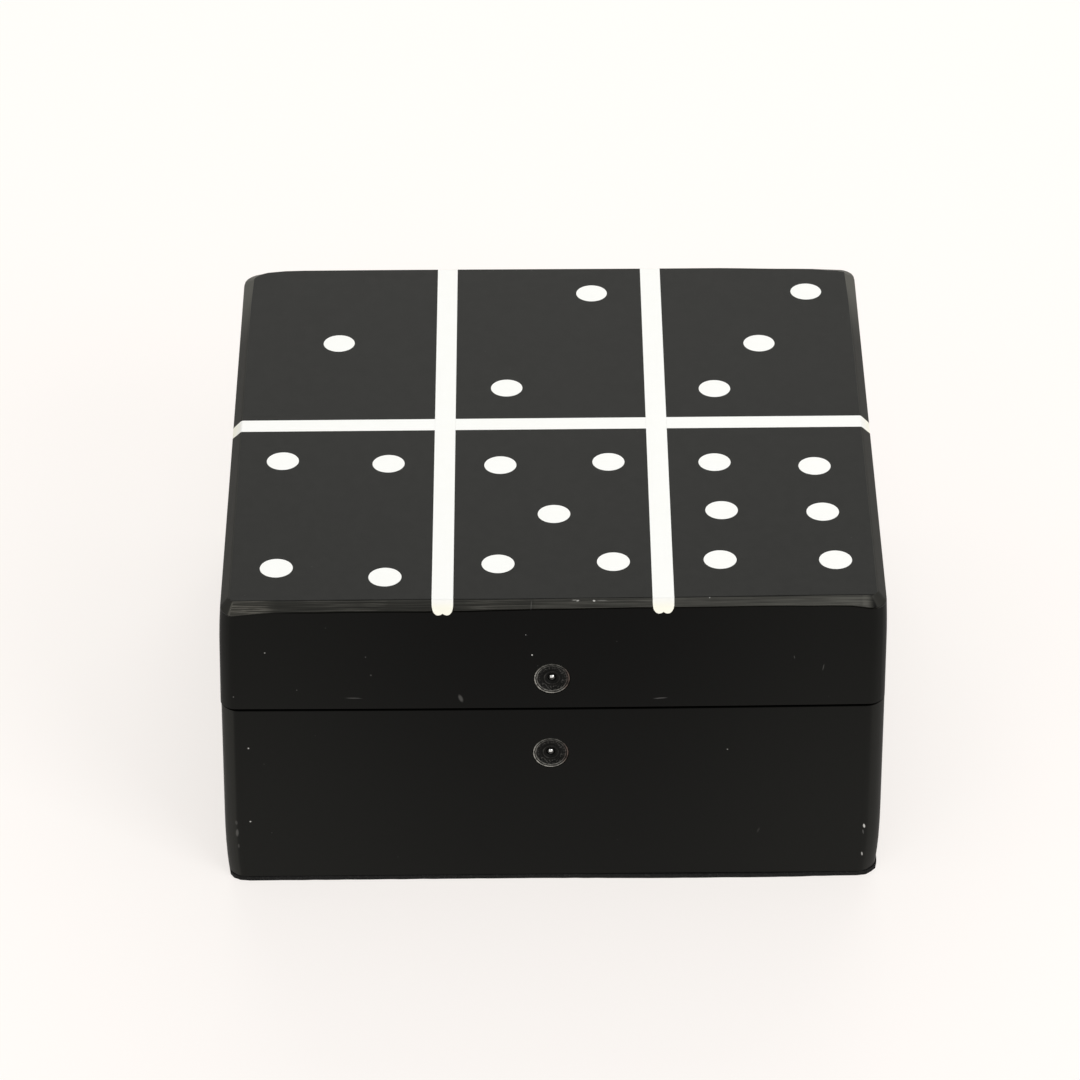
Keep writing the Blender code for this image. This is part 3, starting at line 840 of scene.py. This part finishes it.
def blend(tree, factor, a, b):
    """A colour between two others, each of which is an output or three numbers."""
    a, b = (c if isinstance(c, bpy.types.NodeSocket) else (*c, 1) for c in (a, b))
    return add(tree, "Mix", {0: factor, 6: a, 7: b}, data_type="RGBA").outputs[2]


def grain(tree, vector, scale, detail):
    """Noise around a half."""
    inputs = {"Vector": vector, "Scale": scale, "Detail": detail}
    return add(tree, "TexNoise", inputs).outputs["Fac"]


def new_material(name, **values):
    """A material, its tree and its Principled BSDF, with the given inputs set."""
    made = bpy.data.materials.new(name)
    made.use_nodes = True
    tree = made.node_tree
    shader = tree.nodes["Principled BSDF"]
    for key, value in values.items():
        shader.inputs[key.replace("_", " ")].default_value = value
    return made, tree, shader


def drive(tree, shader, **values):
    """Links outputs to a shader's inputs, which are named with _ for each space."""
    for key, value in values.items():
        tree.links.new(value, shader.inputs[key.replace("_", " ")])


def roughen(tree, shader, height, strength, depth):
    """Gives a shader a bump. The depth is in millimetres."""
    bump = add(tree, "Bump", {"Strength": strength, "Distance": depth * MM, "Height": height})
    tree.links.new(bump.outputs[0], shader.inputs["Normal"])


def lean(tree, coords):
    """How far the box's surface faces along X, Y and Z, and the largest of the three."""
    parts = add(tree, "SeparateXYZ", [coords.outputs["Normal"]])
    sizes = [maths(tree, "ABSOLUTE", parts.outputs[i]) for i in range(3)]
    return sizes, greatest(tree, *sizes)


def streaks(tree, parts, sizes, fine, coarse):
    """Where to take noise from, so that it is drawn out along each chamfer.

    The place is scaled finely along an axis that the surface leans to, and coarsely along the others.
    """
    scales = [ramp(tree, size, 0.1, 0.4, coarse, fine) for size in sizes]
    scaled = [product(tree, part, scale) for part, scale in zip(parts, scales)]
    return add(tree, "CombineXYZ", scaled).outputs[0]


def near_spot(tree, place, x, z, half_x, half_z, tilt_deg):
    """1 at the middle of a small ellipse on the box's front, and 0 outside it."""
    moved = add(tree, "Mapping", {
        "Vector": place,
        "Location": (x * MM, 0, z * MM),
        "Rotation": (0, math.radians(tilt_deg), 0),
        "Scale": (half_x * MM, 1000, half_z * MM),
    }, vector_type="TEXTURE").outputs[0]
    far = add(tree, "VectorMath", [moved], operation="LENGTH").outputs["Value"]
    return ramp(tree, far, 1.0, 0.35)


def band(tree, value, middle, half):
    """1 where a value in metres is within half of a middle, given in millimetres, and 0 outside."""
    away = maths(tree, "ABSOLUTE", maths(tree, "SUBTRACT", value, middle * MM))
    return ramp(tree, away, half * MM, half * 0.6 * MM)


LACQUER_BLACK = (0.001, 0.001, 0.0008)
# Painted reflection: a paler black that lifts the front towards its sides and bottom.
PAINTED_REFLECTION = (0.0115, 0.0117, 0.0102)
SANDED = (0.09, 0.0885, 0.078)
PALE_WEAR = (0.17, 0.165, 0.145)
BROWN_WEAR = (0.12, 0.09, 0.06)
DUST = (0.55, 0.54, 0.52)

# Marks on the front: X, Z, half width, half height, tilt and strength.
LID_MARKS = (
    (-5.9, 70.1, 0.16, 0.16, 0, 0.45),
    (-4.5, 64.5, 0.24, 0.24, 0, 1.0),
    (-65.6, 65.7, 0.22, 0.22, 0, 0.5),
    (-73.2, 53.4, 0.22, 0.2, 0, 0.2),
    (-58.6, 55.2, 0.16, 0.16, 0, 0.16),
    (-41.5, 59.2, 0.3, 0.3, 0, 0.08),
    (-42.6, 64.3, 0.2, 0.16, 0, 0.14),
    (-21.0, 52.5, 0.6, 1.4, -20, 0.1),
    (-45.6, 52.8, 2.4, 0.2, 2, 0.08),
    (24.9, 52.1, 2.0, 0.22, -4, 0.1),
    (62.2, 60.4, 0.14, 1.2, 10, 0.09),
    (55.5, 63.3, 0.12, 0.6, -12, 0.09),
    (6.0, 78.6, 0.45, 0.18, -10, 0.6),
    (5.3, 78.7, 0.9, 0.12, 0, 0.35),
    (9.7, 78.55, 0.4, 0.2, 0, 0.9),
    (11.5, 78.6, 1.6, 0.1, 0, 0.2),
    (36.0, 78.87, 0.2, 0.11, 0, 0.5),
    (-4.6, 77.8, 0.1, 1.2, 5, 0.12),
)
BASE_MARKS = (
    (-70.3, 38.8, 0.24, 0.26, 0, 0.8),
    (-70.6, 17.7, 0.26, 0.26, 0, 0.9),
    (40.5, 37.4, 0.2, 0.2, 0, 0.5),
    (-73.9, 17.2, 0.4, 0.8, 0, 0.07),
    (-73.8, 14.3, 0.45, 1.4, 4, 0.12),
    (-65.7, 14.4, 0.12, 0.12, 0, 0.12),
    (-73.6, 10.5, 0.3, 0.8, 0, 0.07),
    (72.7, 14.9, 0.32, 0.75, -12, 1.0),
    (72.4, 6.7, 0.24, 0.7, -8, 0.7),
    (72.5, 13.2, 0.2, 0.9, -8, 0.12),
    (48.0, 14.0, 0.3, 1.0, 20, 0.03),
)


class Surface:
    """Where the lacquer is and which way it faces, as sockets of its tree, in metres."""

    def __init__(self, tree):
        self.tree = tree
        coords = add(tree, "TexCoord")
        self.place = coords.outputs["Object"]
        self.x, self.y, self.z = add(tree, "SeparateXYZ", [self.place]).outputs
        self.sizes, largest = lean(tree, coords)
        aside, ahead, up = self.sizes
        self.edges = ramp(tree, largest, 0.97, 0.9)
        self.on_rim = ramp(tree, self.z, (TOP - 5) * MM, (TOP - 4) * MM)
        rim = product(tree, self.on_rim, ramp(tree, up, 0.15, 0.3))
        self.front_rim = product(tree, rim, self.edges, ramp(tree, ahead, 0.3, 0.5))
        self.side_rim = product(tree, rim, ramp(tree, largest, 1.0, 0.965), ramp(tree, aside, 0.05, 0.25))
        self.upright = product(tree, self.edges, ramp(tree, up, 0.3, 0.1))
        drawn = streaks(tree, (self.x, self.y, self.z), self.sizes, 3600, 70)
        self.streak = ramp(tree, grain(tree, drawn, 1.0, 3), 0.3, 0.72)


def with_painted_reflection(on):
    """Black with a painted reflection, which pales it towards the front's sides and bottom."""
    tree = on.tree
    aside = ramp(tree, maths(tree, "ABSOLUTE", on.x), 0.01, 0.075)
    below = ramp(tree, on.z, 0.079, 0.0)
    reflection_share = total(tree, product(tree, aside, 0.32), product(tree, below, 0.32))
    return blend(tree, product(tree, reflection_share, ramp(tree, on.sizes[2], 0.5, 0.1)), LACQUER_BLACK, PAINTED_REFLECTION)


def rubbed(on, colour, upright_wear):
    """The colour with its sanded chamfers and handled upright edges.

    The front chamfer is paler to the right, with a step near the middle and a bright patch just
    before the right corner. Its ends are dark, where the corners were polished smooth.
    """
    tree, x = on.tree, on.x
    tip = ramp(tree, x, -0.062, -0.068)
    level = total(
        tree,
        ramp(tree, x, -0.03, 0.045, 0.27, 0.43),
        ramp(tree, x, 0.04, 0.07, 0, 0.26),
        ramp(tree, x, -0.0042, -0.0038, 0, 0.09),
        ramp(tree, x, 0.0706, 0.071, 0, 0.2),
        product(tree, tip, 0.25),
    )
    ends = product(tree, ramp(tree, x, 0.0738, 0.0714), ramp(tree, on.sizes[0], 0.4, 0.2))
    streaky = total(tree, 0.58, product(tree, on.streak, 0.75))
    front_wear = product(tree, on.front_rim, level, ends, streaky)
    side_wear = product(tree, on.side_rim, ramp(tree, on.y, 0.035, 0.073, 0.28, 1.15))
    handled = product(tree, on.upright, upright_wear, ramp(tree, x, -0.07, 0.07, 1.3, 0.5))
    colour = blend(tree, total(tree, front_wear, side_wear, handled), colour, SANDED)

    patch = ramp(tree, grain(tree, on.place, 70, 3), 0.38, 0.7)
    patchy = greatest(tree, ramp(tree, patch, 0.3, 1, 0, 0.2), product(tree, tip, 0.6))
    scuffed = product(tree, on.front_rim, ends, ramp(tree, on.streak, 0.45, 0.9), patchy)
    colour = blend(tree, scuffed, colour, PALE_WEAR)
    browned = product(tree, on.front_rim, ends, tip, on.streak, 0.08)
    return blend(tree, browned, colour, BROWN_WEAR)


def marked(on, colour, marks):
    """The colour with the front's own marks, and with fine specks of dust all over."""
    tree = on.tree
    on_front = maths(tree, "LESS_THAN", on.y, (FRONT + 3) * MM)
    for *ellipse, strength in marks:
        spot = near_spot(tree, on.place, *ellipse)
        colour = blend(tree, product(tree, spot, on_front, strength), colour, DUST)
    specks = add(tree, "TexVoronoi", {"Vector": on.place, "Scale": 330})
    lot = add(tree, "SeparateColor", [specks.outputs["Color"]]).outputs[0]
    chosen = maths(tree, "GREATER_THAN", lot, 0.88)
    size = ramp(tree, specks.outputs["Distance"], 0.04, 0.01, 0, 0.12)
    return blend(tree, product(tree, chosen, size), colour, DUST)


def painted_shade_lines(on):
    """How much the specular is cut to paint shade along the seam's two lips, the bottom edge and the
    front chamfer's lower edge.
    """
    tree = on.tree
    _, ahead, up = on.sizes
    turning = ramp(tree, up, 0.05, 0.3)
    lips = product(tree, band(tree, on.z, SEAM, 1.1), turning)
    foot = product(tree, ramp(tree, on.z, (BASE_LOW + 1.2) * MM, BASE_LOW * MM), turning, 0.7)
    line = product(tree, on.on_rim, ramp(tree, ahead, 0.86, 0.93), ramp(tree, up, 0.03, 0.15))
    line = product(tree, line, ramp(tree, on.x, -0.066, -0.055))
    return greatest(tree, lips, foot, line)


def lacquer(name, marks, upright_wear):
    """Satin black lacquer, sanded grey along the chamfers, with dust, scratches and small chips."""
    made, tree, shader = new_material(name)
    on = Surface(tree)
    colour = marked(on, rubbed(on, with_painted_reflection(on), upright_wear), marks)
    # Painted shade: the specular falls towards the top, so the front reflects less and looks darker near
    # its top.
    shine = ramp(tree, on.z, 0.0, (TOP - 1) * MM, 0.098, 0.083)
    shine = greatest(tree, shine, ramp(tree, on.sizes[2], 0.3, 0.7, 0, 0.1))
    # Painted shade: the specular is cut along these lines so that they look dark.
    shine = product(tree, shine, ramp(tree, painted_shade_lines(on), 0, 1, 1, 0.15))
    mottle = ramp(tree, grain(tree, on.place, 500, 2), 0.3, 0.7, 0.42, 0.44)
    rough = total(tree, mottle, product(tree, on.edges, 0.08))
    drive(tree, shader, Base_Color=colour, Specular_IOR_Level=shine, Roughness=rough)
    fine = product(tree, grain(tree, on.place, 1300, 2), 0.5)
    roughen(tree, shader, total(tree, fine, product(tree, on.streak, on.edges)), 0.25, 0.03)
    return made


def resin():
    """White filler, creamier where it was sanded over the chamfers."""
    made, tree, shader = new_material("white_resin", Roughness=0.38, Specular_IOR_Level=0.4)
    coords = add(tree, "TexCoord")
    place = coords.outputs["Object"]
    height = add(tree, "SeparateXYZ", [place]).outputs[2]
    sizes, _ = lean(tree, coords)
    cloud = ramp(tree, grain(tree, place, 260, 3), 0.3, 0.7)
    colour = blend(tree, cloud, (0.955, 0.955, 0.945), (0.965, 0.965, 0.96))
    lower = ramp(tree, height, (TOP - 0.2) * MM, (TOP - 1.8) * MM, 0.3, 1)
    sanded = product(tree, ramp(tree, sizes[2], 0.99, 0.75), lower)
    drive(tree, shader, Base_Color=blend(tree, sanded, colour, (0.975, 0.96, 0.845)))
    roughen(tree, shader, grain(tree, place, 1400, 2), 0.2, 0.03)
    return made


def felt():
    """Black pressed felt: matted fibres with a faint sheen."""
    made, tree, shader = new_material(
        "black_felt", Roughness=0.95, Specular_IOR_Level=0.1,
        Sheen_Weight=0.06, Sheen_Roughness=0.6, Sheen_Tint=(0.2, 0.2, 0.2, 1),
    )
    place = add(tree, "TexCoord").outputs["Object"]
    swirl = add(tree, "TexNoise", {"Vector": place, "Scale": 500}).outputs["Color"]
    bent = add(tree, "VectorMath", [swirl, (0.002, 0.002, 0.002), place], operation="MULTIPLY_ADD")
    wave = {"Vector": bent.outputs[0], "Scale": 900, "Distortion": 22, "Detail": 3}
    fibres = add(tree, "TexWave", wave).outputs["Fac"]
    matted = product(tree, fibres, grain(tree, place, 1100, 4))
    drive(tree, shader, Base_Color=blend(tree, matted, (0.008, 0.008, 0.008), (0.036, 0.036, 0.035)))
    roughen(tree, shader, matted, 0.9, 0.25)
    return made


def metal(name, colour, tarnish, roughness):
    """A worn metal, clouded with tarnish and slightly uneven."""
    made, tree, shader = new_material(name, Metallic=1.0)
    place = add(tree, "TexCoord").outputs["Object"]
    cloud = ramp(tree, grain(tree, place, 420, 4), 0.42, 0.68)
    rough = total(tree, product(tree, grain(tree, place, 1800, 2), 0.18), roughness - 0.06)
    drive(tree, shader, Base_Color=blend(tree, cloud, colour, tarnish), Roughness=rough)
    roughen(tree, shader, grain(tree, place, 3500, 2), 0.3, 0.02)
    return made


def turned_black():
    """The studs' black, paler in thin rings, most of all at the lower left."""
    made, tree, shader = new_material("turned_black", Roughness=0.45, Specular_IOR_Level=0.09)
    place = add(tree, "TexCoord").outputs["Object"]
    x, y, _ = add(tree, "SeparateXYZ", [place]).outputs
    flat = add(tree, "CombineXYZ", [x, y]).outputs[0]
    radius = add(tree, "VectorMath", [flat], operation="LENGTH").outputs["Value"]
    across = add(tree, "VectorMath", [flat, (-0.75, -0.66, 0)], operation="DOT_PRODUCT").outputs["Value"]
    handled = ramp(tree, maths(tree, "DIVIDE", across, radius), -0.6, 0.9, 0.3, 1.0)
    patchy = ramp(tree, grain(tree, place, 900, 4), 0.35, 0.62, 0.25, 1.0)
    rosy = ramp(tree, x, 0.002, 0.004, 0, 0.6)
    pale = blend(tree, rosy, (0.34, 0.33, 0.3), (0.34, 0.2, 0.16))
    grains = ramp(tree, grain(tree, place, 2600, 3), 0.48, 0.7, 0, 0.18)
    grainy = product(tree, band(tree, radius, 3.0, 0.8), grains)
    colour = blend(tree, grainy, (0.003, 0.003, 0.0026), (0.3, 0.29, 0.27))
    for ring, width, strength in ((4.0, 0.24, 1.0), (3.48, 0.15, 0.5), (1.75, 0.15, 0.12)):
        worn = product(tree, band(tree, radius, ring, width), patchy, handled, strength)
        colour = blend(tree, worn, colour, pale)
    drive(tree, shader, Base_Color=colour)
    groove_pitch = 0.25
    groove = maths(tree, "SINE", product(tree, radius, 2 * math.pi / (groove_pitch * MM)))
    roughen(tree, shader, groove, 0.25, 0.02)
    return made


def pin_steel_with_painted_highlight():
    """A stud's pin with a painted highlight: bright in a patch on its upper half, and painted dark round
    that as shade.
    """
    made, tree, shader = new_material("pin_steel_with_painted_highlight", Metallic=1.0)
    place = add(tree, "TexCoord").outputs["Object"]
    across, height, _ = add(tree, "SeparateXYZ", [place]).outputs
    uneven = total(tree, height, product(tree, grain(tree, place, 1500, 2), 0.0003))
    # Painted highlight: white steel in the patch, and steel painted dark round it as shade.
    outside_painted_highlight = greatest(
        tree,
        ramp(tree, uneven, 0.0004, 0.00028),
        ramp(tree, height, 0.00052, 0.00066),
        ramp(tree, maths(tree, "ABSOLUTE", across), 0.0003, 0.00046),
    )
    colour = blend(tree, outside_painted_highlight, (0.95, 0.95, 0.93), (0.07, 0.07, 0.067))
    drive(tree, shader, Base_Color=colour, Roughness=ramp(tree, outside_painted_highlight, 0, 1, 0.22, 0.5))
    return made


# --- Camera, floor and light ---
def make_camera():
    """A long lens in front of the box, looking down on it at 34 degrees."""
    stands_at = (-0.00309, -1.1057, 0.7888)
    turn_deg, down_deg, roll_deg = -0.034, 33.888, -0.472
    data = bpy.data.cameras.new("camera")
    data.sensor_width = 36
    data.lens = 183.68
    data.clip_end = 20
    camera = bpy.data.objects.new("camera", data)
    bpy.context.scene.collection.objects.link(camera)
    turn = Matrix.Rotation(math.radians(turn_deg), 4, "Z")
    tilt = Matrix.Rotation(math.radians(90 - down_deg), 4, "X")
    roll = Matrix.Rotation(math.radians(roll_deg), 4, "Z")
    camera.matrix_world = Matrix.Translation(stands_at) @ turn @ tilt @ roll
    bpy.context.scene.camera = camera


def make_floor():
    """A pale sheet just under the box, which glows so that shadows on it stay soft and light."""
    half, depth = 6000, 0.05
    bm = bmesh.new()
    under = Matrix.Translation((0, 0, -depth))
    bmesh.ops.create_grid(bm, x_segments=1, y_segments=1, size=half, matrix=under)
    floor = solid("floor", bm)
    made = bpy.data.materials.new("pale_sheet")
    made.use_nodes = True
    tree = made.node_tree
    tree.nodes.clear()
    lit = add(tree, "BsdfDiffuse", {"Color": (0.37, 0.359, 0.356, 1)})
    glow = add(tree, "Emission", {"Color": (1.0, 0.956, 0.921, 1), "Strength": 0.685})
    both = add(tree, "AddShader", [lit.outputs[0], glow.outputs[0]])
    add(tree, "OutputMaterial", {"Surface": both.outputs[0]})
    floor.data.materials.append(made)


def soft_light(name, place, size_x, size_y, radiance, colour=(1, 1, 1)):
    """A flat panel that faces the box. Its power follows from how bright its face is to be."""
    data = bpy.data.lights.new(name, "AREA")
    data.shape = "RECTANGLE"
    data.size, data.size_y = size_x, size_y
    data.energy = radiance * math.pi * size_x * size_y
    data.color = colour
    light = bpy.data.objects.new(name, data)
    bpy.context.scene.collection.objects.link(light)
    look = (Vector((0, 0, 0.04)) - Vector(place)).to_track_quat("-Z", "Y").to_matrix().to_4x4()
    light.matrix_world = Matrix.Translation(place) @ look
    light.visible_camera = False


def make_lights():
    """A dim world, one bank behind the box that the lid reflects, and three fills in front of it."""
    world = bpy.data.worlds.new("studio")
    world.use_nodes = True
    background = world.node_tree.nodes["Background"]
    background.inputs["Color"].default_value = (1.0, 1.0, 0.97, 1)
    background.inputs["Strength"].default_value = 0.5
    bpy.context.scene.world = world
    soft_light("bank_behind", (0.1, 1.5, 1.15), 1.6, 1.0, 2.42, (1, 0.995, 0.93))
    soft_light("fill_right", (1.1, -1.3, 1.1), 0.9, 0.9, 4.4)
    soft_light("fill_left", (-0.9, -1.4, 1.1), 0.8, 0.8, 1.4)
    soft_light("above_front", (0.1, -0.9, 1.5), 0.7, 0.5, 3.0)
    bpy.context.scene.view_settings.view_transform = "Standard"


# --- The whole ---
make_camera()
make_floor()
make_lights()

lid_lacquer = lacquer("lid_lacquer", LID_MARKS, 0.02)
base_lacquer = lacquer("base_lacquer", BASE_MARKS, 0.11)
white = resin()
cloth = felt()
brass = metal("brass", (0.78, 0.57, 0.26), (0.52, 0.36, 0.16), 0.3)
steel = metal("steel", (0.62, 0.61, 0.59), (0.45, 0.44, 0.42), 0.25)
stud_black = turned_black()
# The pins' steel, with a painted highlight and painted shade.
stud_steel_with_painted_highlight = pin_steel_with_painted_highlight()

form = lid_form()
build_strips(form, white)
build_pips(white)
build_lid_shell(form, lid_lacquer)
bpy.data.objects.remove(form)
build_base_shell(base_lacquer)

low, high = span("base_floor_panel")
panel = block("base_floor_board", low, high, 0.3)
finish(panel, base_lacquer, "base", replaced=("base_floor_panel",))
for node, body, ragged, rounding, stretch, glued_to in (
    ("underside_felt", "base", 0.3, 1.5, 0.4, "base_floor_board"),
    ("base_lining_felt", "base", 0.1, 0.2, 0.0, "base_floor_board"),
    ("lid_lining_felt", "lid", 0.1, 0.2, 0.0, "lid_shell"),
):
    sheet = felt_sheet(node + "_sheet", node, ragged, rounding, stretch)
    finish(sheet, cloth, body, angle=60, replaced=(node,))
    low, high = span(node)

build_stud("upper", "lid", stud_black, stud_steel_with_painted_highlight)
build_stud("lower", "base", stud_black, stud_steel_with_painted_highlight)
build_hinges(brass, steel)
